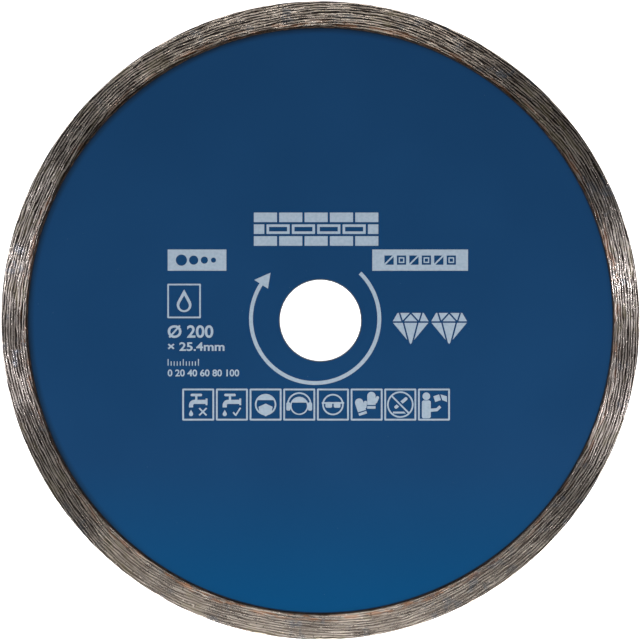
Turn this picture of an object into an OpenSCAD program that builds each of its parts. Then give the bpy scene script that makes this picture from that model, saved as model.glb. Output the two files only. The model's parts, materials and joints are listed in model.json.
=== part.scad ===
// Continuous rim diamond blade for cutting ceramic tile and stone on a wet bench saw.
// The blade lies flat: the bore runs along +Z, the printed side faces up, and the rim's
// back face lies on Z = 0. All sizes are in millimetres.

/* [Blade] */
// Outside diameter of the blade
blade_d = 200; // [180:1:230]
// Diameter of the arbor bore
bore_d = 25.4; // [20:0.1:30]
// Chamfer on both edges of the bore
bore_chamfer = 0.2; // [0.1:0.05:0.3]
// Thickness of the steel core
core_t = 1.6; // [1.4:0.1:1.8]

/* [Rim] */
// Height of the diamond rim along a radius
rim_h = 8; // [7:0.5:12]
// Thickness of the diamond rim
rim_t = 2.2; // [2:0.1:3]
// Chamfer on the two outer edges of the rim
rim_chamfer = 0.15; // [0.05:0.05:0.3]
// Number of crystals that show on each face of the rim
face_crystals = 120; // [24:12:240]
// Number of crystals that show around the outer edge of the rim
edge_crystals = 60; // [12:12:120]
// Edge length of one crystal
crystal = 0.45; // [0.3:0.05:0.6]

/* [Keyed edge] */
// Length of the thin tongue that the core pushes into the rim
tongue_l = 2.4; // [1.8:0.1:3]
// Thickness of the tongue
tongue_t = 1; // [0.8:0.1:1.2]
// Thickness of the bond layer between core and rim
bond_t = 0.1; // [0.05:0.05:0.15]
// Number of keyholes around the tongue
key_count = 36; // [12:12:60]
// Diameter of the round end of a keyhole
key_d = 1.4; // [1:0.1:1.6]
// Width of the neck of a keyhole
key_neck = 0.8; // [0.5:0.1:0.9]

/* [Lacquer and ink] */
// Thickness of the blue lacquer
paint_t = 0.05; // [0.03:0.01:0.1]
// Bare margin between the bore and the lacquer
paint_margin = 0.3; // [0.3:0.1:2]
// Depth of the printed ink in the lacquer
ink_bed = 0.02; // [0.01:0.01:0.02]
// Height of the printed ink above the lacquer
ink_proud = 0.01; // [0.005:0.005:0.02]
// Width of a fine printed line
line_w = 0.5; // [0.4:0.05:0.6]

/* [Hidden] */
$fn = 180;

blade_r = blade_d / 2;
bore_r = bore_d / 2;
seat_r = blade_r - rim_h;          // inner radius of the rim
core_r = seat_r - bond_t;          // radius of the core's full thickness
tongue_r = seat_r + tongue_l;
groove_r = tongue_r + bond_t;      // the rim's groove holds the tongue and its skin of bond
groove_t = tongue_t + 2 * bond_t;
mid_z = rim_t / 2;
core_back = mid_z - core_t / 2;
core_front = mid_z + core_t / 2;
lacquer_r = bore_r + paint_margin;
ink_back = core_front + paint_t - ink_bed;

// The print sits a little left of the bore, as pad printing does. The places of its
// shapes are measured from its own centre.
print_x = -1.35;
print_y = 0.2;
arrow_at = [-0.3, 0.3];
brick_at = [0, 28.4];
grit_at = [-37.3, 18.7];
tile_at = [32.6, 18.7];
drop_at = [-41.35, 5.9];
gems_at = [35.65, -0.7];
boxes_at = [0, -26.55];
panel_h = 6.65;
box_size = 10;
box_pitch = 10.55;
box_count = 8;
small_fn = 48;

steel = "silver";
bronze = "peru";
matrix = "dimgray";
lacquer = "#1a4067";
ink = "#b9c6d7";

function fraction(x) = x - floor(x);
function polar(r, a) = [r * cos(a), r * sin(a)];

// Places its children round the axis, count times.
module around(count) {
    for (i = [0 : count - 1]) rotate([0, 0, i * 360 / count]) children();
}

// Flat ring from radius r0 to r1, between heights z0 and z1.
module band(r0, r1, z0, z1) {
    translate([0, 0, z0]) difference() {
        cylinder(r = r1, h = z1 - z0);
        translate([0, 0, -1]) cylinder(r = r0, h = z1 - z0 + 2);
    }
}

// A keyhole opens outwards, so the bond that fills it can't pull out.
module keyholes() {
    around(key_count) translate([seat_r + key_d, 0, 0]) {
        cylinder(d = key_d, h = rim_t, $fn = small_fn);
        translate([0, -key_neck / 2, 0]) cube([tongue_l, key_neck, rim_t]);
    }
}

module core_blank() {
    translate([0, 0, core_back]) cylinder(r = core_r, h = core_t);
    difference() {
        translate([0, 0, mid_z - tongue_t / 2]) cylinder(r = tongue_r, h = tongue_t);
        keyholes();
    }
}

module steel_core() {
    color(steel) difference() {
        core_blank();
        cylinder(r = bore_r, h = rim_t);
        translate([0, 0, core_front - bore_chamfer])
            cylinder(r1 = bore_r, r2 = bore_r + 2 * bore_chamfer, h = 2 * bore_chamfer);
        translate([0, 0, core_back - bore_chamfer])
            cylinder(r1 = bore_r + 2 * bore_chamfer, r2 = bore_r, h = 2 * bore_chamfer);
    }
}

// Room for the bond: a skin over the tongue and a thin ring where core and rim butt.
module bond_room() {
    band(core_r, seat_r, core_back, core_front);
    band(seat_r, groove_r, mid_z - groove_t / 2, mid_z + groove_t / 2);
}

module bond_layer() {
    color(bronze) difference() {
        bond_room();
        core_blank();
    }
}

module rim_profile() {
    c = rim_chamfer;
    polygon([
        [seat_r, 0], [blade_r - c, 0], [blade_r, c],
        [blade_r, rim_t - c], [blade_r - c, rim_t], [seat_r, rim_t]
    ]);
}

module diamond_rim() {
    color(matrix) rotate_extrude() difference() {
        rim_profile();
        translate([core_r, mid_z - groove_t / 2]) square([groove_r - core_r, groove_t]);
    }
}

// One crystal, a cube that stands on its corner, with its top corner at the origin.
module crystal_down(spin) {
    half = crystal * sqrt(3) / 2;
    translate([0, 0, -half]) rotate([0, 0, spin]) rotate([atan(sqrt(2)), 0, 0])
        rotate([0, 0, 45]) cube(crystal, center = true);
}

// Crystals spread by the golden angle. The front ones stand 0.04 proud of the matrix.
module diamond_grit() {
    golden = 137.508;
    proud = 0.04;
    inner = seat_r + 1;
    depth = rim_h - 2;
    color("khaki") {
        for (i = [0 : face_crystals - 1]) {
            r = inner + depth * fraction(i * 0.381966 + 0.2);
            rotate([0, 0, i * golden]) {
                translate([r, 0, rim_t + proud]) crystal_down(i * 71);
                rotate([0, 0, 1.3]) translate([r, 0, 0]) mirror([0, 0, 1]) crystal_down(i * 53);
            }
        }
        for (i = [0 : edge_crystals - 1]) {
            rotate([0, 0, i * golden + 0.7])
                translate([blade_r, 0, mid_z + 0.5 * (fraction(i * 0.618034) - 0.5)])
                rotate([0, 90, 0]) crystal_down(i * 37);
        }
    }
}

// The ink is set a little into the front lacquer, which is cleared for it.
module front_lacquer() {
    color(lacquer) difference() {
        band(lacquer_r, core_r, core_front, core_front + paint_t);
        ink_film() whole_print();
    }
}

module back_lacquer() {
    color(lacquer) band(lacquer_r, core_r, core_back - paint_t, core_back);
}

module ink_film() {
    translate([print_x, print_y, ink_back]) linear_extrude(ink_bed + ink_proud) children();
}

module whole_print() {
    arrow_shape();
    brick_shape();
    grit_shape();
    tile_shape();
    drop_shape();
    gem_pair();
    box_frames();
    water_shapes();
    protection_shapes();
    handling_shapes();
}

module rotation_arrow() {
    color(ink) ink_film() arrow_shape();
}

module brick_motif() {
    color(ink) ink_film() brick_shape();
}

module grit_panel() {
    color(ink) ink_film() grit_shape();
}

module tile_panel() {
    color(ink) ink_film() tile_shape();
}

module drop_frame() {
    color(ink) ink_film() drop_shape();
}

module gem_symbols() {
    color(ink) ink_film() gem_pair();
}

module pictogram_frames() {
    color(ink) ink_film() box_frames();
}

module water_symbols() {
    color(ink) ink_film() water_shapes();
}

module protection_symbols() {
    color(ink) ink_film() protection_shapes();
}

module handling_symbols() {
    color(ink) ink_film() handling_shapes();
}

// Flat shapes that the print is drawn with: first a straight line from one point to another.
module stroke(from, to, w = line_w) {
    step = to - from;
    translate(from) rotate(atan2(step[1], step[0]))
        translate([0, -w / 2]) square([norm(step), w]);
}

module rounded_bar(w, h, r) {
    square([w - 2 * r, h], center = true);
    square([w, h - 2 * r], center = true);
    for (x = [-1, 1], y = [-1, 1])
        translate([x * (w / 2 - r), y * (h / 2 - r)]) circle(r, $fn = small_fn);
}

module frame(w, h, line = line_w, r = 0.3) {
    difference() {
        rounded_bar(w, h, r);
        square([w - 2 * line, h - 2 * line], center = true);
    }
}

module ring(r, w = line_w) {
    difference() {
        circle(r + w / 2);
        circle(r - w / 2);
    }
}

// The part of a ring between two angles less than 180 degrees apart.
module arc(r, w, a0, a1) {
    far = 3 * r;
    intersection() {
        ring(r, w, $fn = small_fn);
        polygon([[0, 0], polar(far, a0), polar(far, (a0 + a1) / 2), polar(far, a1)]);
    }
}

module drop(r) {
    circle(r, $fn = small_fn);
    polygon([polar(r, 30), [0, 2.1 * r], polar(r, 150)]);
}

// The print itself is flat and drawn about its own centre. This is the clockwise arrow round
// the bore, from the upper right to the upper left.
module arrow_shape() {
    r = 20.1;
    gap = [45.5, 146.5];
    head = [134, 147.4];
    head_half = 2.55;
    reach = 2 * r;
    translate(arrow_at) {
        difference() {
            ring(r, 1.2);
            polygon([
                [0, 0], polar(reach, gap[0]), polar(reach, (gap[0] + gap[1]) / 2), polar(reach, gap[1])
            ]);
        }
        polygon([polar(r, head[0]), polar(r + head_half, head[1]), polar(r - head_half, head[1])]);
    }
}

// Three courses of bricks in running bond. The middle course has a half brick at each end.
module brick_shape() {
    w = 39;
    h = 10.4;
    joint = 0.7;
    pitch = (w + joint) / 5;
    brick = [pitch - joint, (h - 2 * joint) / 3];
    course = brick[1] + joint;
    translate(brick_at) {
        for (row = [-1, 1], col = [-2 : 2])
            translate([col * pitch, row * course]) square(brick, center = true);
        for (col = [-1.5 : 1.5])
            translate([col * pitch, 0]) frame(brick[0], brick[1], 0.8, 0.1);
        for (side = [-1, 1])
            translate([side * 2.25 * pitch, 0]) square([pitch / 2 - joint, brick[1]], center = true);
    }
}

// Solid panel with grains from coarse to fine left clear in it.
module grit_shape() {
    translate(grit_at) difference() {
        square([18.4, panel_h], center = true);
        for (i = [0 : 3])
            translate([-4.9 + i * 4.1 - 0.25 * i * i, 0]) circle(1.75 - 0.32 * i, $fn = small_fn);
    }
}

// Solid panel with a row of small tiles left clear in it.
module tile_shape() {
    tiles = 6;
    size = 2.9;
    pitch = 3.9;
    translate(tile_at) difference() {
        square([30, panel_h], center = true);
        for (i = [0 : tiles - 1]) translate([(i - (tiles - 1) / 2) * pitch, 0])
            difference() {
                square(size, center = true);
                if (i % 2 == 0) stroke([-size / 2, -size / 2], [size / 2, size / 2]);
                else frame(size * 0.62, size * 0.62, 0.4, 0.1);
            }
    }
}

// Square frame round a water drop.
module drop_shape() {
    translate(drop_at) {
        frame(10.5, 10.8);
        translate([0, -1.2]) difference() {
            drop(2.3);
            translate([0, -0.2]) drop(1.5);
        }
    }
}

// One cut stone, seen from the side, with clear lines between its facets.
module gem() {
    girdle = 5.75;
    table = 4.1;
    crown = 2.85;
    culet = -6.9;
    cut = 0.5;
    difference() {
        polygon([
            [-table, crown], [table, crown], [girdle, 0], [0, culet], [-girdle, 0]
        ]);
        stroke([-girdle, 0], [girdle, 0], cut);
        for (side = [-1, 1]) {
            stroke([side * table * 0.85, crown], [side * girdle * 0.45, 0], cut);
            stroke([0, crown], [side * girdle * 0.45, 0], cut);
            stroke([side * girdle * 0.4, 0], [side * 0.5, culet], cut);
        }
    }
}

// Two stones side by side, as a mark for long life.
module gem_pair() {
    pitch = 12.05;
    for (side = [-0.5, 0.5]) translate(gems_at + [side * pitch, 0]) gem();
}

// The boxes of the lower row, numbered from 0 on the left.
module in_box(i) {
    translate(boxes_at + [(i - (box_count - 1) / 2) * box_pitch, 0]) children();
}

module box_frames() {
    for (i = [0 : box_count - 1]) in_box(i) frame(box_size, box_size, 0.55, 0.35);
}

module tap() {
    translate([-0.6, 3]) rounded_bar(3.6, 0.8, 0.35);
    translate([-0.6, 2.1]) square([0.7, 1.4], center = true);
    translate([-1.2, 0.2]) square([3.6, 1.3]);
    translate([-1.2, -0.2]) arc(1.05, 1.3, 90, 180);
    translate([-2.9, -0.9]) square([1.3, 0.8]);
    translate([2.3, -0.2]) square([0.6, 2.1]);
    translate([-2.25, -3]) drop(0.65);
}

// A tap beside a cross, and a tap beside a tick.
module water_shapes() {
    in_box(0) {
        tap();
        stroke([0.3, -3.4], [2.6, -1.1]);
        stroke([0.3, -1.1], [2.6, -3.4]);
    }
    in_box(1) {
        tap();
        stroke([0.4, -2.4], [1.2, -3.4]);
        stroke([1.1, -3.5], [2.7, -1]);
    }
}

// Face outline, with the hair as the part of a disc above a line.
module head(hair_y) {
    face_r = 3.1;
    ring(face_r, line_w, $fn = small_fn);
    intersection() {
        circle(face_r, $fn = small_fn);
        translate([-face_r, hair_y]) square([2 * face_r, face_r]);
    }
}

module masked_head() {
    head(1.4);
    polygon([[-2.2, -0.7], [0, 0.3], [2.2, -0.7], [1.9, -2.6], [0, -3.7], [-1.9, -2.6]]);
}

module muffed_head() {
    translate([0, -0.4]) scale(0.85) head(1.2);
    arc(3.6, line_w, 5, 175);
    for (side = [-1, 1]) translate([side * 3.4, -0.6]) rounded_bar(1.3, 2.6, 0.5);
}

module goggled_head() {
    head(2.9);
    translate([0, 0.5]) square([7, 0.5], center = true);
    for (side = [-1, 1]) translate([side * 1.3, -0.1]) rounded_bar(2.1, 1.8, 0.5);
}

// A mitten with a clear line between hand and cuff.
module mitten() {
    difference() {
        union() {
            translate([0, -0.6]) square([2.6, 4], center = true);
            translate([0, 1.4]) circle(1.3, $fn = small_fn);
            translate([1.6, 0.2]) rotate(-25) rounded_bar(1, 2.4, 0.45);
        }
        translate([0, -1.6]) square([3, 0.35], center = true);
    }
}

module protection_shapes() {
    in_box(2) masked_head();
    in_box(3) muffed_head();
    in_box(4) goggled_head();
    in_box(5) {
        translate([-1.9, -0.7]) rotate(18) mitten();
        translate([1.5, 1.3]) mitten();
    }
}

// A wheel laid flat, crossed out, and a reader with an open book.
module handling_shapes() {
    slash = [polar(3.9, 135), polar(3.9, -45)];
    in_box(6) {
        ring(3.9, line_w, $fn = small_fn);
        stroke(slash[0], slash[1]);
        difference() {
            union() {
                translate([0.2, 0.5]) rotate(40) rounded_bar(5, 1, 0.4);
                translate([0, -2.5]) square([4.6, 0.6], center = true);
            }
            stroke(slash[0], slash[1], 3 * line_w);
        }
    }
    in_box(7) {
        translate([-2.4, 2.6]) circle(1.2, $fn = small_fn);
        translate([-2.4, -1.5]) rounded_bar(2.8, 5.6, 0.6);
        stroke([-1.4, -1.8], [1, -1.6], 1);
        stroke([0.7, -1.8], [2, -0.6], 0.9);
        polygon([[-0.2, 2.6], [1.6, 3.2], [2.2, 1.4], [0.4, 0.8]]);
        polygon([[2, 3.2], [4, 2.6], [4.1, 0.8], [2.6, 1.4]]);
    }
}

steel_core();
bond_layer();
diamond_rim();
diamond_grit();
front_lacquer();
back_lacquer();
rotation_arrow();
brick_motif();
grit_panel();
tile_panel();
drop_frame();
gem_symbols();
pictogram_frames();
water_symbols();
protection_symbols();
handling_symbols();
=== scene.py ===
import json
import math
import random

import bmesh
import bpy
from mathutils import Matrix, Vector, noise

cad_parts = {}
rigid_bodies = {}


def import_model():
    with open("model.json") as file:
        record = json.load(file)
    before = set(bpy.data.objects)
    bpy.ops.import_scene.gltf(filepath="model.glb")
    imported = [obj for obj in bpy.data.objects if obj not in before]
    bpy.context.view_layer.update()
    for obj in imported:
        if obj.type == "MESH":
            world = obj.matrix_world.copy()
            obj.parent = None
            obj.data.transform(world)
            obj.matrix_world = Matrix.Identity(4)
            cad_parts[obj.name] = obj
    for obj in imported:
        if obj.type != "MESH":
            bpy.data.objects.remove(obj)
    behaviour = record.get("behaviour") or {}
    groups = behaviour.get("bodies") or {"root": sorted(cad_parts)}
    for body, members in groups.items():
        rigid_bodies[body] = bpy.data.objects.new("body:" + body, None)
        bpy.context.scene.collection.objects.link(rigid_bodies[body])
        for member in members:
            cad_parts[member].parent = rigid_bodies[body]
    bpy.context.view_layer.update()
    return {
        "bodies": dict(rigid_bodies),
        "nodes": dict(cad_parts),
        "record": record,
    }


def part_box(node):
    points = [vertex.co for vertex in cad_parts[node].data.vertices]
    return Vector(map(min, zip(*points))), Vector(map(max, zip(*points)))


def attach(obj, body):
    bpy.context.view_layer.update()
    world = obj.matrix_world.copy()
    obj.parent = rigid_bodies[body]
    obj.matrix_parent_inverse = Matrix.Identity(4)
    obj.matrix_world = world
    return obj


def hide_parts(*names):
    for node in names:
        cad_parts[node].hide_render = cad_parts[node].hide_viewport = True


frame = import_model()
nodes = frame["nodes"]
body = list(frame["bodies"])[0]
mm = 0.001
touching = 1e-6  # points closer than this are at the same place

# the few sizes that everything else is worked out from; all but the bond's thickness are read
# off the frame
rimLow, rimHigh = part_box("diamond_rim")
inkLow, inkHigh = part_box("rotation_arrow")
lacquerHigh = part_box("front_lacquer")[1]
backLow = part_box("back_lacquer")[0]
bladeRadius = rimHigh.x
bondThickness = 0.1 * mm
seatRadius = lacquerHigh.x + bondThickness  # the lacquer stops one bond thickness short of the rim


def addNode(tree, kind, place, inputs=None, **settings):
    made = tree.nodes.new(kind)
    made.location = (place[0] * 220, place[1] * -180)
    for key, value in settings.items():
        setattr(made, key, value)
    for key, value in (inputs or {}).items():
        if isinstance(value, bpy.types.NodeSocket):
            tree.links.new(value, made.inputs[key])
        else:
            made.inputs[key].default_value = value
    return made


def mathNode(tree, place, operation, *values, clamp=False):
    made = addNode(tree, "ShaderNodeMath", place, dict(enumerate(values)), operation=operation)
    made.use_clamp = clamp
    return made.outputs[0]


def mixColor(tree, place, factor, first, second, blend="MIX"):
    made = addNode(tree, "ShaderNodeMix", place, data_type="RGBA", blend_type=blend)
    sockets = (made.inputs[0], made.inputs[6], made.inputs[7])
    for socket, value in zip(sockets, (factor, first, second)):
        if isinstance(value, bpy.types.NodeSocket):
            tree.links.new(value, socket)
        else:
            socket.default_value = value
    return made.outputs[2]


# the color with a share of a tint mixed in where the mask is 1
def tintBy(tree, place, color, tint, mask, share):
    factor = mathNode(tree, (place[0] - 1, place[1] + 1), "MULTIPLY", mask, share)
    return mixColor(tree, place, factor, color, tint)


def mapRange(tree, place, value, low, high, toLow=0.0, toHigh=1.0, smooth=True):
    inputs = {0: value, 1: low, 2: high, 3: toLow, 4: toHigh}
    made = addNode(tree, "ShaderNodeMapRange", place, inputs)
    made.interpolation_type = "SMOOTHSTEP" if smooth else "LINEAR"
    return made.outputs[0]


# goes from 0 to 1 between two circles, given in mm outwards from the rim's seat
def ringMask(tree, place, radius, edges):
    return mapRange(tree, place, radius, seatRadius / mm + edges[0], seatRadius / mm + edges[1])


def dotWith(tree, place, direction, way):
    made = addNode(tree, "ShaderNodeVectorMath", place, {0: direction, 1: way},
                   operation="DOT_PRODUCT")
    return made.outputs["Value"]


def startGroup(name, inputs, outputs):
    tree = bpy.data.node_groups.new(name, "ShaderNodeTree")
    for label, kind, value in inputs:
        socket = tree.interface.new_socket(name=label, in_out="INPUT", socket_type=kind)
        if value is not None:
            socket.default_value = value
    for label, kind in outputs:
        tree.interface.new_socket(name=label, in_out="OUTPUT", socket_type=kind)
    inner = tree.nodes.new("NodeGroupInput").outputs
    return tree, inner, tree.nodes.new("NodeGroupOutput").inputs


def useGroup(tree, group, place, inputs):
    made = addNode(tree, "ShaderNodeGroup", place, node_tree=group)
    for key, value in inputs.items():
        if isinstance(value, bpy.types.NodeSocket):
            tree.links.new(value, made.inputs[key])
        else:
            made.inputs[key].default_value = value
    return made.outputs


# a shared effect laid over a surface, with its settings from a piece's own dictionary
def layEffect(tree, coords, group, place, settings):
    return useGroup(tree, group, place, {"Vector": coords, **settings})


def startMaterial(name, **shader):
    material = bpy.data.materials.new(name)
    material.use_nodes = True
    tree = material.node_tree
    principled = tree.nodes["Principled BSDF"]
    principled.location = (1600, 0)
    tree.nodes["Material Output"].location = (1900, 0)
    for key, value in shader.items():
        principled.inputs[key.replace("_", " ")].default_value = value
    coords = addNode(tree, "ShaderNodeTexCoord", (-5, 0)).outputs["Object"]
    return material, tree, principled.inputs, coords


def paintNode(nodeName, material):
    mesh = nodes[nodeName].data
    mesh.materials.clear()
    mesh.materials.append(material)


def finishPiece(name, bm, material, replaced=None, sharpAngle=30):
    bmesh.ops.recalc_face_normals(bm, faces=bm.faces)
    for face in bm.faces:
        face.smooth = True
    for edge in bm.edges:
        edge.smooth = edge.calc_face_angle(0) < math.radians(sharpAngle)
    mesh = bpy.data.meshes.new(name)
    bm.to_mesh(mesh)
    bm.free()
    return placePiece(name, mesh, material, replaced)


# goes on round the axis with copies of the first wedge
def copyWedge(bm, sectors):
    everything = bm.verts[:] + bm.edges[:] + bm.faces[:]
    bmesh.ops.spin(bm, geom=everything, cent=(0, 0, 0), axis=(0, 0, 1), dvec=(0, 0, 0),
                   angle=math.tau - math.tau / sectors, steps=sectors - 1, use_duplicate=True)


# turns a closed profile into a full ring, one twelfth first and then its copies, which is quick
def turnProfile(bm, steps, sectors=12):
    bmesh.ops.spin(bm, geom=bm.verts[:] + bm.edges[:], cent=(0, 0, 0), axis=(0, 0, 1),
                   dvec=(0, 0, 0), angle=math.tau / sectors, steps=steps // sectors)
    copyWedge(bm, sectors)
    bmesh.ops.remove_doubles(bm, verts=bm.verts, dist=touching)


def placePiece(name, mesh, material, replaced=None):
    piece = bpy.data.objects.new(name, mesh)
    bpy.context.scene.collection.objects.link(piece)
    mesh.materials.clear()
    mesh.materials.append(material)
    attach(piece, body)
    if replaced:
        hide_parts(replaced)
    print(f"{name}: {len(mesh.polygons)} faces")
    return piece


# where a point lies round the bore: its radius in mm, its angle, its unit direction, and
# how far it is across the marks, which goes on over the outer edge
def makeAroundBore():
    tree, inn, out = startGroup(
        "around bore",
        [("Vector", "NodeSocketVector", None)],
        [("Radius", "NodeSocketFloat"), ("Angle", "NodeSocketFloat"),
         ("Direction", "NodeSocketVector"), ("Across", "NodeSocketFloat")])
    parts = addNode(tree, "ShaderNodeSeparateXYZ", (1, 0), {0: inn[0]}).outputs
    flat = addNode(tree, "ShaderNodeCombineXYZ", (2, 0), {0: parts[0], 1: parts[1]}).outputs[0]
    length = addNode(tree, "ShaderNodeVectorMath", (3, 0), {0: flat}, operation="LENGTH")
    length = length.outputs["Value"]
    unit = addNode(tree, "ShaderNodeVectorMath", (3, 1), {0: flat}, operation="NORMALIZE").outputs[0]
    tree.links.new(mathNode(tree, (4, 0), "MULTIPLY", length, 1 / mm), out[0])
    tree.links.new(mathNode(tree, (4, 1), "ARCTAN2", parts[1], parts[0]), out[1])
    tree.links.new(unit, out[2])
    across = mathNode(tree, (4, 2), "ADD", length, parts[2])
    tree.links.new(mathNode(tree, (5, 2), "MULTIPLY", across, 1 / mm), out[3])
    return tree


markRules = {
    "trueRadius": 96.0,  # mm from the bore's centre, where marks have their stated length
    "seedStep": 17.3,    # moves marks of another seed to another part of the noise
}


# what all marks round the bore share: how many mark widths a point lies across them, with
# waves put in, where it lies along them, and the shift that their seed gives
def followMarks(tree, inn, width):
    place = useGroup(tree, aroundBore, (1, 0), {"Vector": inn["Vector"]})
    turn = mathNode(tree, (2, 0), "MULTIPLY_ADD", place["Angle"], inn["Waves"], inn["Seed"])
    wave = mathNode(tree, (4, 0), "MULTIPLY", mathNode(tree, (3, 0), "SINE", turn), inn["Lean"])
    radius = mathNode(tree, (5, 0), "ADD", place["Across"], wave)
    across = mathNode(tree, (6, 0), "DIVIDE", radius, width)
    reach = mathNode(tree, (3, 2), "DIVIDE", markRules["trueRadius"], inn["Length"])
    along = addNode(tree, "ShaderNodeVectorMath", (4, 2), {0: place["Direction"], 3: reach},
                    operation="SCALE").outputs[0]
    along = addNode(tree, "ShaderNodeSeparateXYZ", (5, 2), {0: along}).outputs
    shift = mathNode(tree, (6, 1), "MULTIPLY", inn["Seed"], markRules["seedStep"])
    return across, along, shift


# long thin marks that run round the bore and wave in and out, as a side grinder leaves them
def makeGrindStreaks():
    tree, inn, out = startGroup(
        "grind streaks",
        [("Vector", "NodeSocketVector", None), ("Width", "NodeSocketFloat", 0.4),
         ("Length", "NodeSocketFloat", 8.0), ("Lean", "NodeSocketFloat", 0.8),
         ("Waves", "NodeSocketFloat", 9.0), ("Seed", "NodeSocketFloat", 0.0),
         ("Contrast", "NodeSocketFloat", 0.12)],
        [("Streak", "NodeSocketFloat"), ("Scratch", "NodeSocketFloat")])
    across, along, shift = followMarks(tree, inn, inn["Width"])
    lift = mathNode(tree, (7, 0), "ADD", across, shift)
    point = addNode(tree, "ShaderNodeCombineXYZ", (8, 1), {0: along[0], 1: along[1], 2: lift})
    grain = addNode(tree, "ShaderNodeTexNoise", (9, 1), {
        "Vector": point.outputs[0], "Scale": 1.0, "Detail": 2.0, "Roughness": 0.55}).outputs[0]
    low = mathNode(tree, (10, 0), "SUBTRACT", 0.5, inn["Contrast"])
    high = mathNode(tree, (10, 1), "ADD", 0.5, inn["Contrast"])
    tree.links.new(mapRange(tree, (11, 1), grain, low, high, smooth=False), out[0])
    offCentre = mathNode(tree, (9, 3), "SUBTRACT", grain, 0.5)
    offCentre = mathNode(tree, (10, 3), "ABSOLUTE", offCentre)
    tree.links.new(mapRange(tree, (11, 3), offCentre, 0.035, 0.0), out[1])
    return tree


# evenly spaced lines round the bore, as one pass of a coarse wheel leaves them, broken up
# along their length
def makeWheelLines():
    tree, inn, out = startGroup(
        "wheel lines",
        [("Vector", "NodeSocketVector", None), ("Pitch", "NodeSocketFloat", 0.8),
         ("Length", "NodeSocketFloat", 10.0), ("Lean", "NodeSocketFloat", 1.0),
         ("Waves", "NodeSocketFloat", 7.0), ("Breakup", "NodeSocketFloat", 12.0),
         ("Seed", "NodeSocketFloat", 0.0)],
        [("Line", "NodeSocketFloat")])
    across, along, shift = followMarks(tree, inn, inn["Pitch"])
    lift = mathNode(tree, (7, 1), "MULTIPLY_ADD", across, 0.7, shift)
    point = addNode(tree, "ShaderNodeCombineXYZ", (8, 1), {0: along[0], 1: along[1], 2: lift})
    drift = addNode(tree, "ShaderNodeTexNoise", (9, 1), {
        "Vector": point.outputs[0], "Scale": 1.0, "Detail": 1.0}).outputs[0]
    phase = mathNode(tree, (10, 0), "MULTIPLY", across, math.tau)
    phase = mathNode(tree, (11, 0), "MULTIPLY_ADD", drift, inn["Breakup"], phase)
    line = mathNode(tree, (12, 1), "SINE", phase)
    line = mathNode(tree, (12, 0), "MULTIPLY_ADD", line, 0.5, 0.5)
    tree.links.new(mapRange(tree, (13, 0), line, 0.15, 0.85), out[0])
    return tree


# small round marks scattered over a surface: dust, pinholes and pits
def makeSpecks():
    tree, inn, out = startGroup(
        "specks",
        [("Vector", "NodeSocketVector", None), ("Spacing", "NodeSocketFloat", 1.0),
         ("Size", "NodeSocketFloat", 0.2), ("Amount", "NodeSocketFloat", 0.3)],
        [("Mask", "NodeSocketFloat")])
    scale = mathNode(tree, (1, 0), "DIVIDE", 1 / mm, inn["Spacing"])
    cells = addNode(tree, "ShaderNodeTexVoronoi", (2, 0), {"Vector": inn["Vector"], "Scale": scale})
    cells = cells.outputs
    core = mathNode(tree, (3, 1), "MULTIPLY", inn["Size"], 0.6)
    near = mapRange(tree, (4, 0), cells["Distance"], inn["Size"], core)
    shade = addNode(tree, "ShaderNodeSeparateColor", (3, 2), {0: cells["Color"]}).outputs[0]
    chosen = mathNode(tree, (4, 2), "LESS_THAN", shade, inn["Amount"])
    tree.links.new(mathNode(tree, (5, 1), "MULTIPLY", near, chosen), out[0])
    return tree


# soft uneven patches
def makeMottle():
    tree, inn, out = startGroup(
        "mottle",
        [("Vector", "NodeSocketVector", None), ("Size", "NodeSocketFloat", 10.0),
         ("Detail", "NodeSocketFloat", 2.0), ("Contrast", "NodeSocketFloat", 0.2)],
        [("Value", "NodeSocketFloat")])
    scale = mathNode(tree, (1, 0), "DIVIDE", 1 / mm, inn["Size"])
    cloud = addNode(tree, "ShaderNodeTexNoise", (2, 0),
                    {"Vector": inn["Vector"], "Scale": scale, "Detail": inn["Detail"]}).outputs[0]
    low = mathNode(tree, (3, 0), "SUBTRACT", 0.5, inn["Contrast"])
    high = mathNode(tree, (3, 1), "ADD", 0.5, inn["Contrast"])
    tree.links.new(mapRange(tree, (4, 0), cloud, low, high), out[0])
    return tree


aroundBore = makeAroundBore()
grindStreaks = makeGrindStreaks()
wheelLines = makeWheelLines()
specks = makeSpecks()
mottle = makeMottle()
print("shared effects made")


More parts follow.
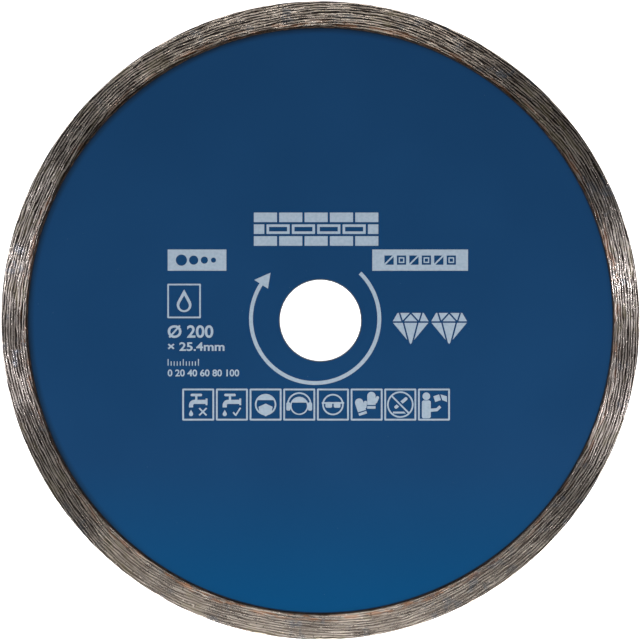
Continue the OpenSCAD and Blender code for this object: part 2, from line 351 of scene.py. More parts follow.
# the rim's ground surface: crossing grinding marks, dark pores, and patches of copper-rich powder, with
# painted light, shade and sparkle laid over them; bands are in mm outwards from the rim's seat, and
# ways are directions from the bore
rimLook = {
    "dark": (0.022, 0.017, 0.015, 1),
    "middle": (0.200, 0.160, 0.135, 1),
    "bright": (0.84, 0.76, 0.68, 1),
    "copper": (0.50, 0.22, 0.10, 1),
    "blued": (0.22, 0.28, 0.36, 1),
    "olive": (0.25, 0.22, 0.12, 1),
    "colorStops": (0.22, 0.52, 0.80),  # the heights that are dark, middle and bright
    "roughness": (0.22, 0.38),
    "grooveDepth": 0.032 * mm,
    "lineShare": 0.50,                 # shares of the marks in the height, first the lines
    "wideShare": 0.17,
    "fineShare": 0.19,
    "crossedShare": 0.14,
    "scratchShare": -0.08,
    "pitShare": -0.9,
    "meanHeight": 0.46,
    # painted light and shade: the marks are kept faint and the mean height light at the foot, and
    # strong and dark at the top
    "gain": (1.35, 0.38),              # strength of the marks over most of the rim, and at its foot
    "bandGain": (0.65, 1.45),          # factor on it in the faintest and the strongest band
    "paintedTopSparkleGain": 2.25,                   # factor on it at the top
    "paintedLightLevel": (0.50, 0.60),             # what the mean height becomes, at mid height and at the foot
    "paintedTopShade": -0.10,                 # and what is added to that at the top
    "paintedSparkleShare": 0.5,                    # shares of tints in the color from here on
    # painted shade on one stretch of the rim
    "shadedStretchWay": (0.766, 0.643, 0),
    "paintedStretchShade": 0.30,
    "copperBand": (2.9, 0.7),
    "copperTint": (0.38, 0.62),        # over most of the rim, and at its foot
    "oliveTint": 0.35,
    "bluedTint": 0.35,
    "pitTint": 0.75,
    "glintTint": 0.8,
    # painted highlight on the inner lip, painted shadow of the step, and painted shade in the crevice
    "lipBand": (0.75, 0.50),
    "lipHighlightWay": (0.17, -0.98, 0),
    "paintedLipHighlight": 0.70,
    "stepShadowBand": (1.1, 0.5),
    "shadowWay": (-0.71, 0.71, 0),
    "paintedShadowShare": 0.55,
    "creviceBand": (0.40, 0.18),
    "creviceShade": (0.85, 0.25),           # over most of the rim, and at the right
}

# the marks' own settings, with sizes in mm
rimMarks = {
    "lines": {"Pitch": 0.80, "Length": 7.0, "Lean": 0.8, "Waves": 7.0, "Breakup": 9.0, "Seed": 1.3},
    "bands": {"Width": 2.0, "Length": 8.0, "Lean": 0.8, "Waves": 7.0, "Seed": 5.6, "Contrast": 0.14},
    "wide": {"Width": 0.36, "Length": 13.0, "Lean": 0.50, "Waves": 9.0, "Seed": 0.4, "Contrast": 0.06},
    "fine": {"Width": 0.22, "Length": 4.5, "Lean": 0.45, "Waves": 11.0, "Seed": 2.1, "Contrast": 0.06},
    "crossed": {"Width": 0.33, "Length": 7.0, "Lean": 1.1, "Waves": 8.0, "Seed": 4.4, "Contrast": 0.07},
    "patches": {"Width": 1.1, "Length": 6.0, "Lean": 0.5, "Waves": 5.0, "Seed": 7.7, "Contrast": 0.10},
    "pits": {"Spacing": 1.2, "Size": 0.27, "Amount": 0.32},
    "glints": {"Spacing": 1.6, "Size": 0.22, "Amount": 0.18},
    "spots": {"Size": 3.5, "Detail": 2.0, "Contrast": 0.2},
    "clouds": {"Size": 14.0, "Detail": 3.0, "Contrast": 0.18},
}


def makeRimMaterial():
    material, tree, shader, coords = startMaterial(
        "groundMatrix", Metallic=0.93, Anisotropic=0.8, Anisotropic_Rotation=0.25)
    r = rimLook
    place = useGroup(tree, aroundBore, (-4, 2), {"Vector": coords})
    heading = addNode(tree, "ShaderNodeSeparateXYZ", (-3, 7), {0: place["Direction"]}).outputs
    foot = mapRange(tree, (-2, 7), heading[1], -0.45, -0.90)
    lines = layEffect(tree, coords, wheelLines, (-3, -1), rimMarks["lines"])[0]
    bands = layEffect(tree, coords, grindStreaks, (-3, 10), rimMarks["bands"])[0]
    wide = layEffect(tree, coords, grindStreaks, (-3, 0), rimMarks["wide"])
    fine = layEffect(tree, coords, grindStreaks, (-3, 1), rimMarks["fine"])
    crossed = layEffect(tree, coords, grindStreaks, (-3, 2), rimMarks["crossed"])
    patches = layEffect(tree, coords, grindStreaks, (-1, 5), rimMarks["patches"])[0]
    pits = layEffect(tree, coords, specks, (-3, 3), rimMarks["pits"])[0]
    glints = layEffect(tree, coords, specks, (-3, 8), rimMarks["glints"])[0]
    spots = layEffect(tree, coords, mottle, (-3, 9), rimMarks["spots"])[0]
    clouds = layEffect(tree, coords, mottle, (-3, 4), rimMarks["clouds"])[0]

    # height of the ground surface, from the lines and the three sets of streaks
    height = mathNode(tree, (-2, 0), "MULTIPLY", lines, r["lineShare"])
    height = mathNode(tree, (-1, 0), "MULTIPLY_ADD", wide[0], r["wideShare"], height)
    height = mathNode(tree, (0, 0), "MULTIPLY_ADD", fine[0], r["fineShare"], height)
    height = mathNode(tree, (1, 0), "MULTIPLY_ADD", crossed[0], r["crossedShare"], height)
    height = mathNode(tree, (2, 0), "MULTIPLY_ADD", crossed[1], r["scratchShare"], height)

    # the marks come and go in bands; they are faint and light at the foot, which is painted light, and
    # strong and dark at the top, which is painted shade with painted sparkle
    gain = mapRange(tree, (0, 7), foot, 0.0, 1.0, *r["gain"])
    bandGain = mapRange(tree, (0, 10), bands, 0.0, 1.0, *r["bandGain"])
    gain = mathNode(tree, (1, 10), "MULTIPLY", gain, bandGain)
    paintedTopSparkleGain = mapRange(tree, (0, 11), heading[1], -0.35, 0.85, 1.0, r["paintedTopSparkleGain"])
    gain = mathNode(tree, (1, 11), "MULTIPLY", gain, paintedTopSparkleGain)
    paintedLightLevel = mapRange(tree, (1, 12), heading[1], -0.05, -0.9, *r["paintedLightLevel"])
    paintedTopShade = mapRange(tree, (1, 13), heading[1], 0.35, 0.75, 0.0, r["paintedTopShade"])
    paintedLightLevel = mathNode(tree, (2, 12), "ADD", paintedLightLevel, paintedTopShade)
    offset = mathNode(tree, (1, 7), "SUBTRACT", height, r["meanHeight"])
    height = mathNode(tree, (2, 7), "MULTIPLY_ADD", offset, gain, paintedLightLevel)
    sunk = mathNode(tree, (3, 0), "MULTIPLY_ADD", pits, r["pitShare"], height)

    ramp = addNode(tree, "ShaderNodeValToRGB", (2, 2), {0: height})
    ramp.color_ramp.elements[0].position = r["colorStops"][0]
    ramp.color_ramp.elements[0].color = r["dark"]
    ramp.color_ramp.elements[1].position = r["colorStops"][2]
    ramp.color_ramp.elements[1].color = r["bright"]
    ramp.color_ramp.elements.new(r["colorStops"][1]).color = r["middle"]
    color = ramp.outputs[0]
    # painted sparkle: short bright lines where the streaks cross
    paintedSparkle = mathNode(tree, (2, 3), "MULTIPLY", wide[1], fine[0])
    color = tintBy(tree, (3, 2), color, r["bright"], paintedSparkle, r["paintedSparkleShare"])

    # painted shade: one stretch of the rim, up and to the right, is darkened
    stretch = dotWith(tree, (2, 9), place["Direction"], r["shadedStretchWay"])
    paintedStretchShade = mapRange(tree, (3, 9), stretch, 0.90, 0.99, 0.0, r["paintedStretchShade"])
    color = mixColor(tree, (3, 6), paintedStretchShade, color, r["dark"])

    # copper-rich powder shows in patches near the inner edge, and a few spots are heat blued
    copperBand = ringMask(tree, (0, 4), place["Radius"], r["copperBand"])
    copper = mapRange(tree, (0, 5), patches, 0.50, 0.90)
    copper = mathNode(tree, (1, 5), "MULTIPLY", copperBand, copper)
    copperTint = mapRange(tree, (1, 6), foot, 0.0, 1.0, *r["copperTint"])
    color = tintBy(tree, (3, 3), color, r["copper"], copper, copperTint)
    olive = mathNode(tree, (-1, 8), "ADD", patches, clouds)
    olive = mapRange(tree, (0, 8), olive, 0.55, 0.25)
    color = tintBy(tree, (3, 4), color, r["olive"], olive, r["oliveTint"])
    blued = mathNode(tree, (1, 9), "MULTIPLY", mapRange(tree, (0, 6), clouds, 0.55, 1.0),
                     mapRange(tree, (0, 9), spots, 0.7, 1.0))
    color = tintBy(tree, (4, 3), color, r["blued"], blued, r["bluedTint"])
    color = tintBy(tree, (5, 3), color, r["dark"], pits, r["pitTint"])
    # bright specks are painted glints
    color = tintBy(tree, (6, 3), color, r["bright"], glints, r["glintTint"])

    # the inner lip has a painted highlight along the lower half and a painted shadow of the step at the
    # upper left, and the crevice inside it is painted dark as shade except at the right
    lip = ringMask(tree, (4, 7), place["Radius"], r["lipBand"])
    lower = dotWith(tree, (3, 8), place["Direction"], r["lipHighlightWay"])
    lower = mapRange(tree, (4, 8), lower, -0.3, 0.3, 0.0, r["paintedLipHighlight"])
    paintedLipHighlight = mathNode(tree, (5, 7), "MULTIPLY", lip, lower)
    patchy = mapRange(tree, (5, 8), spots, 0.15, 0.75)
    paintedLipHighlight = mathNode(tree, (6, 7), "MULTIPLY", paintedLipHighlight, patchy)
    streaky = mapRange(tree, (5, 10), fine[0], 0.1, 0.8, 0.35, 1.0)
    paintedLipHighlight = mathNode(tree, (6, 8), "MULTIPLY", paintedLipHighlight, streaky)
    color = mixColor(tree, (7, 3), paintedLipHighlight, color, r["bright"])
    # painted shadow of the rim's step at the upper left
    paintedStepShadow = ringMask(tree, (4, 9), place["Radius"], r["stepShadowBand"])
    upper = dotWith(tree, (3, 10), place["Direction"], r["shadowWay"])
    paintedShadowShare = mapRange(tree, (4, 10), upper, 0.55, 0.95, 0.0, r["paintedShadowShare"])
    color = tintBy(tree, (8, 3), color, r["dark"], paintedStepShadow, paintedShadowShare)
    # painted shade in the crevice, lighter at the right
    creviceShade = ringMask(tree, (6, 9), place["Radius"], r["creviceBand"])
    shadeBySide = mapRange(tree, (6, 10), heading[0], 0.5, 0.95, *r["creviceShade"])
    color = tintBy(tree, (9, 3), color, r["dark"], creviceShade, shadeBySide)

    bump = addNode(tree, "ShaderNodeBump", (5, 0), {
        "Height": sunk, "Distance": r["grooveDepth"], "Strength": 1.0})
    rough = mathNode(tree, (3, 1), "ADD", fine[0], clouds)
    rough = mapRange(tree, (4, 1), rough, 0.2, 1.8, r["roughness"][1], r["roughness"][0],
                     smooth=False)
    tangent = addNode(tree, "ShaderNodeTangent", (5, 2), direction_type="RADIAL", axis="Z")
    tree.links.new(color, shader["Base Color"])
    tree.links.new(rough, shader["Roughness"])
    tree.links.new(bump.outputs[0], shader["Normal"])
    tree.links.new(tangent.outputs[0], shader["Tangent"])
    return material


rimShape = {
    "steps": 720,                 # facets round the rim
    "faceCuts": 42,               # rows of faces across each ground side
    "edgeCuts": 9,                # rows across the outer edge
    "slotHalf": 0.6 * mm,         # half the height of the slot that holds the core's tongue
    "chamfer": 0.15 * mm,
    "grooveDepth": 0.014 * mm,
    "grooveWidth": 0.42 * mm,
    "grooveLength": 11 * mm,
    "grooveWave": 0.5 * mm,       # how far the grooves wave in and out
    "waves": 9,
    "second": 0.6,                # strength and scale of a second set of grooves
    "lip": 0.05 * mm,             # the uneven inner lip is this wide
    "edgeWander": 0.07 * mm,
    "wanderScales": (900, 2400),
    "nickCount": 60,
    "nickDepth": 0.35 * mm,
    "nickLength": 1.2 * mm,
    "nickWidth": 0.35 * mm,
    "nickMargin": 0.4 * mm,       # beyond this from an edge there are none
}


def streakNoise(x, y, width, length, seed):
    radius = math.hypot(x, y)
    angle = math.atan2(y, x)
    radius += rimShape["grooveWave"] * math.sin(rimShape["waves"] * angle + seed)
    reach = bladeRadius / length
    along = (math.cos(angle) * reach, math.sin(angle) * reach)
    return noise.noise(Vector((along[0], along[1], radius / width + 31 * seed)))


def makeRim():
    s = rimShape
    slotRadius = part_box("bond_layer")[1].x
    middle = (rimLow.z + rimHigh.z) / 2
    slotLow, slotHigh = middle - s["slotHalf"], middle + s["slotHalf"]
    bevel = s["chamfer"]
    low, high = rimLow.z, rimHigh.z
    corners = [
        (seatRadius, slotHigh), (seatRadius, high),
        (bladeRadius - bevel, high), (bladeRadius, high - bevel),
        (bladeRadius, low + bevel), (bladeRadius - bevel, low),
        (seatRadius, low), (seatRadius, slotLow), (slotRadius, slotLow), (slotRadius, slotHigh)]
    bm = bmesh.new()
    verts = [bm.verts.new((x, 0, z)) for x, z in corners]
    edges = [bm.edges.new((verts[i], verts[(i + 1) % len(verts)])) for i in range(len(verts))]
    frontEdge, rimEdge, backEdge = edges[1], edges[3], edges[5]
    cutCounts = ((frontEdge, s["faceCuts"]), (backEdge, s["faceCuts"]), (rimEdge, s["edgeCuts"]))
    for edge, cuts in cutCounts:
        bmesh.ops.subdivide_edges(bm, edges=[edge], cuts=cuts)
    turnProfile(bm, s["steps"])

    # grinding grooves in both sides, an uneven inner lip, and small nicks along the edges; each
    # nick has its angle, whether it is on the outer edge, and its size
    rng = random.Random(41)
    nicks = [(rng.uniform(0, math.tau), rng.choice((0, 0, 1)), rng.uniform(0.4, 1.0))
             for _ in range(s["nickCount"])]
    for vert in bm.verts:
        x, y, z = vert.co
        radius = math.hypot(x, y)
        side = 1 if z > high - touching else -1 if z < low + touching else 0
        if side:
            ground = streakNoise(x, y, s["grooveWidth"], s["grooveLength"], 0.4 * side)
            ground += s["second"] * streakNoise(
                x, y, s["grooveWidth"] * s["second"], s["grooveLength"] * s["second"], 2.0 + side)
            vert.co.z -= side * s["grooveDepth"] * min(1.0, max(0.0, 0.5 + ground))
        if side and radius < seatRadius + s["lip"]:
            coarse, fine = s["wanderScales"]
            wander = noise.noise(Vector((x, y, z)) * coarse)
            wander += 0.5 * noise.noise(Vector((x, y, z)) * fine)
            push = s["edgeWander"] * max(0.0, 0.5 + wander)
            vert.co.x += x / radius * push
            vert.co.y += y / radius * push
        margin = s["nickMargin"]
        if not side or seatRadius + margin < radius < bladeRadius - margin:
            continue
        for angle, outer, size in nicks:
            turn = abs((math.atan2(y, x) - angle + math.pi) % math.tau - math.pi)
            edgeRadius = bladeRadius if outer else seatRadius
            near = math.hypot(turn * radius / s["nickLength"], (radius - edgeRadius) / s["nickWidth"])
            if near < 1:
                vert.co.z -= side * s["nickDepth"] * size * (1 - near) * 0.5
    return finishPiece("diamondRim", bm, makeRimMaterial(), "diamond_rim", sharpAngle=35)


makeRim()


gritShape = {
    "sectors": 12,
    "perFace": 120,            # crystals on each side in one sector
    "perEdge": 30,
    "size": (0.16 * mm, 0.30 * mm),
    "proud": 0.035 * mm,
    "innerMargin": 0.5 * mm,   # how near to the rim's edges a crystal may lie
    "outerMargin": 0.4 * mm,
    "sideMargin": 0.35 * mm,
    "yellow": (0.62, 0.58, 0.42, 1),
    "clear": (0.80, 0.80, 0.78, 1),
    "tint": {"Size": 0.9, "Detail": 0.0, "Contrast": 0.12},
}


def makeGritMaterial():
    g = gritShape
    material, tree, shader, coords = startMaterial("syntheticDiamond", Roughness=0.12, IOR=2.42)
    tint = layEffect(tree, coords, mottle, (-2, 0), g["tint"])[0]
    tree.links.new(mixColor(tree, (0, 0), tint, g["yellow"], g["clear"]), shader["Base Color"])
    return material


def makeGrit():
    g = gritShape
    rng = random.Random(17)
    wedge = math.tau / g["sectors"]
    bm = bmesh.new()

    def addCrystal(place):
        size = rng.uniform(*g["size"])
        angle = rng.uniform(0, math.tau)
        axis = Vector((rng.uniform(-1, 1), rng.uniform(-1, 1), 1))
        turn = Matrix.Rotation(angle, 4, axis)
        shape = Matrix.Diagonal((size, size * rng.uniform(0.8, 1.1), size * rng.uniform(0.8, 1), 1))
        matrix = Matrix.Translation(place) @ turn @ shape
        bmesh.ops.create_icosphere(bm, subdivisions=1, radius=0.5, matrix=matrix)

    deepest = g["size"][1] / 2
    innerLimit = (seatRadius + g["innerMargin"]) ** 2
    outerLimit = (bladeRadius - g["outerMargin"]) ** 2
    for side in (1, -1):
        for _ in range(g["perFace"]):
            angle = rng.uniform(0, wedge)
            radius = math.sqrt(rng.uniform(innerLimit, outerLimit))
            surface = rimHigh.z if side > 0 else rimLow.z
            sunk = surface - side * (deepest - (g["proud"] if side > 0 else 0))
            addCrystal(Vector((radius * math.cos(angle), radius * math.sin(angle), sunk)))
    for _ in range(g["perEdge"]):
        angle = rng.uniform(0, wedge)
        radius = bladeRadius - deepest
        height = rng.uniform(rimLow.z + g["sideMargin"], rimHigh.z - g["sideMargin"])
        addCrystal(Vector((radius * math.cos(angle), radius * math.sin(angle), height)))
    copyWedge(bm, g["sectors"])
    return finishPiece("diamondGrit", bm, makeGritMaterial(), "diamond_grit", sharpAngle=5)


makeGrit()


# the bronze is coloured near black: its own dark oxide, with painted shade for the corner under the
# rim's step
bondLook = {
    "dark": (0.012, 0.010, 0.009, 1),
    "copper": (0.075, 0.045, 0.030, 1),
    "patch": {"Size": 1.6, "Detail": 3.0, "Contrast": 0.2},
    "relief": 0.02 * mm,
}


def makeBondMaterial():
    b = bondLook
    material, tree, shader, coords = startMaterial("bronzeBond", Metallic=0.85, Roughness=0.45)
    patch = layEffect(tree, coords, mottle, (-2, 0), b["patch"])[0]
    bump = addNode(tree, "ShaderNodeBump", (1, 1), {
        "Height": patch, "Distance": b["relief"], "Strength": 0.7})
    tree.links.new(mixColor(tree, (0, 0), patch, b["dark"], b["copper"]), shader["Base Color"])
    tree.links.new(bump.outputs[0], shader["Normal"])
    return material


bondMaterial = makeBondMaterial()
paintNode("bond_layer", bondMaterial)

# the thin line of bronze that sweats out of the joint and stands in the corner, on both faces
beadShape = {
    "steps": 720,
    "width": 0.26 * mm,
    "height": 0.10 * mm,
    "bedded": 0.005 * mm,     # how deep the bead sits in the lacquer
    "wander": 0.07 * mm,
    "wanderScales": (1400, 350),
    # the section's corners, as parts of the width from the rim and of the height
    "corners": ((0, 0), (0, 1.0), (0.3, 0.95), (0.65, 0.6), (0.9, 0.25), (1.0, 0)),
}


def makeBead(name, surface, side):
    b = beadShape
    bm = bmesh.new()
    verts = [bm.verts.new((seatRadius - x * b["width"], 0, surface + side * z * b["height"]))
             for x, z in b["corners"]]
    for first, second in zip(verts, verts[1:] + verts[:1]):
        bm.edges.new((first, second))
    turnProfile(bm, b["steps"])
    for vert in bm.verts:
        x, y, z = vert.co
        radius = math.hypot(x, y)
        if radius > seatRadius - 0.1 * b["width"]:
            continue
        fine, coarse = b["wanderScales"]
        pull = b["wander"] * noise.noise(Vector((x, y, z)) * fine)
        pull += b["wander"] * noise.noise(Vector((x, y, z)) * coarse)
        vert.co.x += x / radius * pull
        vert.co.y += y / radius * pull
    return finishPiece(name, bm, bondMaterial, sharpAngle=50)


makeBead("bondBeadFront", lacquerHigh.z - beadShape["bedded"], 1)
makeBead("bondBeadBack", backLow.z + beadShape["bedded"], -1)


# the core's bare steel, which shows only at the bore and its margins
steelLook = {
    "dark": (0.16, 0.17, 0.18, 1),
    "light": (0.36, 0.37, 0.38, 1),
    "stain": (0.10, 0.085, 0.075, 1),
    "stainTint": 0.35,
    "roughness": (0.28, 0.45),
    "relief": 0.004 * mm,
    "marks": {"Width": 0.12, "Length": 20.0, "Lean": 0.1, "Waves": 3.0, "Seed": 1.1, "Contrast": 0.2},
    "patch": {"Size": 3.0, "Detail": 3.0, "Contrast": 0.2},
}


def makeSteelMaterial():
    c = steelLook
    material, tree, shader, coords = startMaterial("groundSteel", Metallic=0.9)
    marks = layEffect(tree, coords, grindStreaks, (-3, 0), c["marks"])[0]
    patch = layEffect(tree, coords, mottle, (-3, 1), c["patch"])[0]
    color = mixColor(tree, (0, 0), marks, c["dark"], c["light"])
    color = tintBy(tree, (1, 0), color, c["stain"], patch, c["stainTint"])
    bump = addNode(tree, "ShaderNodeBump", (1, 2), {
        "Height": marks, "Distance": c["relief"], "Strength": 0.6})
    tree.links.new(color, shader["Base Color"])
    tree.links.new(mapRange(tree, (1, 3), patch, 0.0, 1.0, *c["roughness"]), shader["Roughness"])
    tree.links.new(bump.outputs[0], shader["Normal"])
    return material


paintNode("steel_core", makeSteelMaterial())


# a satin stoved lacquer: cloudy, slightly peeled and dusty, with painted light that turns it a clearer
# blue towards the foot, and a painted shadow of the rim's step along the corner under the rim; bands
# are in mm outwards from the rim's seat
lacquerLook = {
    "deep": (0.0074, 0.0465, 0.129, 1),
    "light": (0.0086, 0.0515, 0.141, 1),
    "paintedFootLight": (0.0006, 0.0575, 0.162, 1),
    "footHeights": (-44 * mm, -94 * mm),
    "paintedShadowBlue": (0.006, 0.012, 0.020, 1),
    "dust": (0.10, 0.16, 0.24, 1),
    "dustTint": 0.3,
    "roughness": (0.23, 0.25),
    "relief": 0.0015 * mm,
    "softShadowBand": (-2.6, -0.4),
    "softShadowWay": (-0.87, 0.5, 0),
    "paintedSoftShadow": (0.10, 0.80),          # on the lit side and on the shaded one
    "cornerBand": (-0.85, -0.35),
    "paintedCornerShade": 0.92,
    "clouds": {"Size": 45.0, "Detail": 2.0, "Contrast": 0.25},
    "peel": {"Size": 1.1, "Detail": 1.0, "Contrast": 0.45},
    "dustSpecks": {"Spacing": 5.0, "Size": 0.04, "Amount": 0.35},
    "rubs": {"Width": 0.5, "Length": 25.0, "Lean": 3.0, "Waves": 2.0, "Seed": 9.0, "Contrast": 0.2},
    "paintedStepShadow": {"Width": 0.7, "Length": 9.0, "Lean": 0.4, "Waves": 7.0, "Seed": 3.3, "Contrast": 0.25},
}


def makeLacquerMaterial():
    c = lacquerLook
    material, tree, shader, coords = startMaterial(
        "blueLacquer", Metallic=0.0, Specular_IOR_Level=0.25)
    place = useGroup(tree, aroundBore, (-4, 0), {"Vector": coords})
    height = addNode(tree, "ShaderNodeSeparateXYZ", (-4, 3), {0: coords}).outputs[1]
    clouds = layEffect(tree, coords, mottle, (-3, 0), c["clouds"])[0]
    peel = layEffect(tree, coords, mottle, (-3, 1), c["peel"])[0]
    dust = layEffect(tree, coords, specks, (-3, 2), c["dustSpecks"])[0]
    rubs = layEffect(tree, coords, grindStreaks, (-3, 3), c["rubs"])[0]
    paintedStepShadow = layEffect(tree, coords, grindStreaks, (-3, 5), c["paintedStepShadow"])[0]
    color = mixColor(tree, (0, 0), clouds, c["deep"], c["light"])
    # painted light: a clearer, lighter blue towards the foot
    foot = mapRange(tree, (0, 3), height, *c["footHeights"], smooth=False)
    color = mixColor(tree, (1, 0), foot, color, c["paintedFootLight"])

    # dust settles thinly; a painted soft shadow of the rim's step darkens the lacquer on the upper left
    # side, and painted shade darkens the corner under the rim
    color = tintBy(tree, (2, 0), color, c["dust"], dust, c["dustTint"])
    side = dotWith(tree, (-1, 6), place["Direction"], c["softShadowWay"])
    side = mapRange(tree, (0, 6), side, -0.2, 0.7)
    paintedSoftShadow = ringMask(tree, (0, 4), place["Radius"], c["softShadowBand"])
    streaky = mapRange(tree, (0, 5), paintedStepShadow, 0.0, 1.0, 0.7, 1.0)
    paintedSoftShadow = mathNode(tree, (1, 4), "MULTIPLY", paintedSoftShadow, streaky)
    oneSided = mapRange(tree, (1, 6), side, 0.0, 1.0, *c["paintedSoftShadow"])
    color = tintBy(tree, (3, 0), color, c["paintedShadowBlue"], paintedSoftShadow, oneSided)
    # painted shade in the corner under the rim
    corner = ringMask(tree, (0, 2), place["Radius"], c["cornerBand"])
    color = tintBy(tree, (4, 0), color, c["paintedShadowBlue"], corner, c["paintedCornerShade"])

    bump = addNode(tree, "ShaderNodeBump", (1, 3), {
        "Height": peel, "Distance": c["relief"], "Strength": 0.5})
    tree.links.new(color, shader["Base Color"])
    tree.links.new(mapRange(tree, (1, 5), rubs, 0.0, 1.0, *c["roughness"]), shader["Roughness"])
    tree.links.new(bump.outputs[0], shader["Normal"])
    return material


lacquer = makeLacquerMaterial()
paintNode("front_lacquer", lacquer)
paintNode("back_lacquer", lacquer)


# thin satin ink, uneven, with pinholes that let the lacquer through
inkLook = {
    "pale": (0.370, 0.463, 0.552, 1),
    "thin": (0.302, 0.393, 0.482, 1),
    "roughness": (0.55, 0.42),
    "relief": 0.002 * mm,
    "holeTint": 0.6,
    "film": {"Size": 0.9, "Detail": 3.0, "Contrast": 0.3},
    "holes": {"Spacing": 0.9, "Size": 0.09, "Amount": 0.25},
}


def makeInkMaterial():
    c = inkLook
    material, tree, shader, coords = startMaterial("printedInk", Roughness=0.5)
    film = layEffect(tree, coords, mottle, (-3, 0), c["film"])[0]
    holes = layEffect(tree, coords, specks, (-3, 1), c["holes"])[0]
    color = mixColor(tree, (0, 0), film, c["thin"], c["pale"])
    color = tintBy(tree, (1, 0), color, lacquerLook["light"], holes, c["holeTint"])
    bump = addNode(tree, "ShaderNodeBump", (1, 2), {
        "Height": film, "Distance": c["relief"], "Strength": 0.5})
    tree.links.new(color, shader["Base Color"])
    tree.links.new(mapRange(tree, (1, 3), film, 0.0, 1.0, *c["roughness"]), shader["Roughness"])
    tree.links.new(bump.outputs[0], shader["Normal"])
    return material


ink = makeInkMaterial()
for part in frame["record"]["subparts"]:
    if part["material_slot"] == "printed_ink":
        paintNode(part["node"], ink)


# the sizes printed at the left, between the framed drop and the row of pictograms:
# text, its height, its baseline below the drop's frame, and its width, all in mm
sizeText = {
    "lines": [
        ("Ø 200", 3.9, -6.0, 14.3),
        ("× 25.4mm", 2.7, -10.15, 17.8),
        ("0 20 40 60 80 100", 2.15, -18.15, 22.4),
    ],
    "capShare": 0.73,         # height of a capital as part of the font's size
    "boldness": 0.022,
    "ticks": 11,
    "tallEvery": 5,
    "tickPitch": 0.95,
    "tickWidth": 0.28,
    "tickHeights": (2.1, 1.4),
    "tickBaseline": -14.9,
}


def makeSizeMarks():
    t = sizeText
    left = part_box("grit_panel")[0].x
    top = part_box("drop_frame")[0].y
    thickness = inkHigh.z - inkLow.z
    middle = (inkHigh.z + inkLow.z) / 2
    bm = bmesh.new()
    for text, capHeight, baseline, width in t["lines"]:
        curve = bpy.data.curves.new("line", "FONT")
        curve.body = text
        curve.size = capHeight * mm / t["capShare"]
        curve.offset = curve.size * t["boldness"]
        curve.extrude = thickness / 2
        curve.resolution_u = 6
        holder = bpy.data.objects.new("line", curve)
        bpy.context.scene.collection.objects.link(holder)
        bpy.context.view_layer.update()
        mesh = bpy.data.meshes.new_from_object(holder)
        spread = [v.co.x for v in mesh.vertices]
        stretch = width * mm / (max(spread) - min(spread))
        mesh.transform(Matrix.Translation((-min(spread), 0, 0)))
        mesh.transform(Matrix.Diagonal((stretch, 1, 1, 1)))
        mesh.transform(Matrix.Translation((left, top + baseline * mm, middle)))
        bm.from_mesh(mesh)
        bpy.data.objects.remove(holder)
        bpy.data.meshes.remove(mesh)

    # a short row of ruler ticks
    for i in range(t["ticks"]):
        tall = t["tickHeights"][0 if i % t["tallEvery"] == 0 else 1]
        centre = (left + (i * t["tickPitch"] + t["tickWidth"] / 2) * mm,
                  top + (t["tickBaseline"] + tall / 2) * mm, middle)
        shape = Matrix.Diagonal((t["tickWidth"] * mm, tall * mm, thickness, 1))
        bmesh.ops.create_cube(bm, size=1, matrix=Matrix.Translation(centre) @ shape)
    mesh = bpy.data.meshes.new("sizeMarks")
    bm.to_mesh(mesh)
    bm.free()
    return placePiece("sizeMarks", mesh, ink)


makeSizeMarks()


studio = {
    "halfView": 0.10019,      # half the width of what the camera sees at the blade
    "lens": 85,
    "sensor": 36,
    "aim": (-0.13 * mm, 0.14 * mm),
    "floorHalf": 2.5,
    "floorGap": 0.05 * mm,
    "floorGlow": 1.0,
    "ambient": 0.052,
    "backdrop": 0.95,
    "elevation": 35,
    # each lamp's name, azimuth, distance, width and height, power and color
    "lamps": [
        ("keyBelow", 270, 0.40, (0.64, 0.18), 2.05, (1, 0.98, 0.95)),
        ("fillAbove", 88, 0.40, (0.42, 0.07), 0.28, (1, 0.91, 0.82)),
        ("strip7", 7, 0.8, (0.03, 0.3), 1.25, (0.96, 0.94, 1)),
        ("strip-18", -18, 0.8, (0.12, 0.3), 1.25, (0.96, 0.94, 1)),
        ("strip171", 171, 0.8, (0.03, 0.3), 1.20, (0.96, 0.94, 1)),
        ("strip191", 191, 0.8, (0.03, 0.3), 1.10, (0.96, 0.94, 1)),
    ],
}


def makeCamera():
    data = bpy.data.cameras.new("camera")
    data.lens = studio["lens"]
    data.sensor_width = studio["sensor"]
    distance = studio["halfView"] * 2 * data.lens / data.sensor_width
    camera = bpy.data.objects.new("camera", data)
    camera.location = (studio["aim"][0], studio["aim"][1], rimHigh.z + distance)
    data.clip_start = 0.01
    bpy.context.scene.collection.objects.link(camera)
    bpy.context.scene.camera = camera


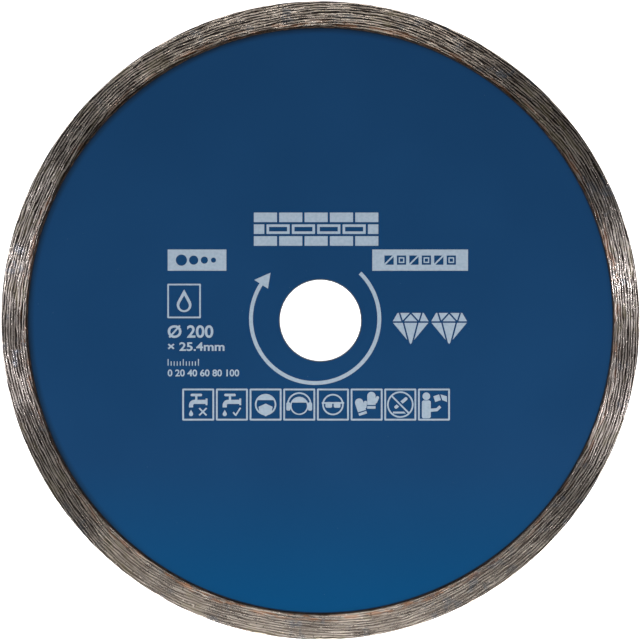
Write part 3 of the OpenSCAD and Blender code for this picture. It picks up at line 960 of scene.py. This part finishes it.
def makeFloor():
    bm = bmesh.new()
    bmesh.ops.create_grid(bm, x_segments=1, y_segments=1, size=studio["floorHalf"])
    bmesh.ops.translate(bm, vec=(0, 0, rimLow.z - studio["floorGap"]), verts=bm.verts)
    mesh = bpy.data.meshes.new("floor")
    bm.to_mesh(mesh)
    bm.free()
    floor = bpy.data.objects.new("floor", mesh)
    bpy.context.scene.collection.objects.link(floor)
    material = bpy.data.materials.new("paleFloor")
    material.use_nodes = True
    inputs = material.node_tree.nodes["Principled BSDF"].inputs
    inputs["Base Color"].default_value = (0.9, 0.9, 0.9, 1)
    inputs["Roughness"].default_value = 0.8
    inputs["Specular IOR Level"].default_value = 0.1
    inputs["Emission Color"].default_value = (1, 1, 1, 1)
    inputs["Emission Strength"].default_value = studio["floorGlow"]
    mesh.materials.append(material)


def makeWorld():
    world = bpy.data.worlds.new("studio")
    world.use_nodes = True
    tree = world.node_tree
    seen = addNode(tree, "ShaderNodeLightPath", (-3, 0)).outputs["Is Camera Ray"]
    strength = mapRange(tree, (-2, 0), seen, 0.0, 1.0, studio["ambient"], studio["backdrop"])
    tree.links.new(strength, tree.nodes["Background"].inputs["Strength"])
    tree.nodes["Background"].inputs["Color"].default_value = (1, 1, 1, 1)
    bpy.context.scene.world = world


def addLamp(name, azimuth, distance, size, power, color):
    data = bpy.data.lights.new(name, "AREA")
    data.shape = "RECTANGLE"
    data.size, data.size_y = size
    data.energy = power
    data.color = color
    lamp = bpy.data.objects.new(name, data)
    turn = math.radians(azimuth)
    rise = math.radians(studio["elevation"])
    flat = math.cos(rise) * distance
    place = Vector((flat * math.cos(turn), flat * math.sin(turn), math.sin(rise) * distance))
    lamp.location = place
    lamp.rotation_euler = (-place).to_track_quat("-Z", "Y").to_euler()
    lamp.visible_camera = False
    bpy.context.scene.collection.objects.link(lamp)


makeCamera()
makeFloor()
makeWorld()
for lampSettings in studio["lamps"]:
    addLamp(*lampSettings)
bpy.context.scene.view_settings.view_transform = "Standard"
print("studio made")
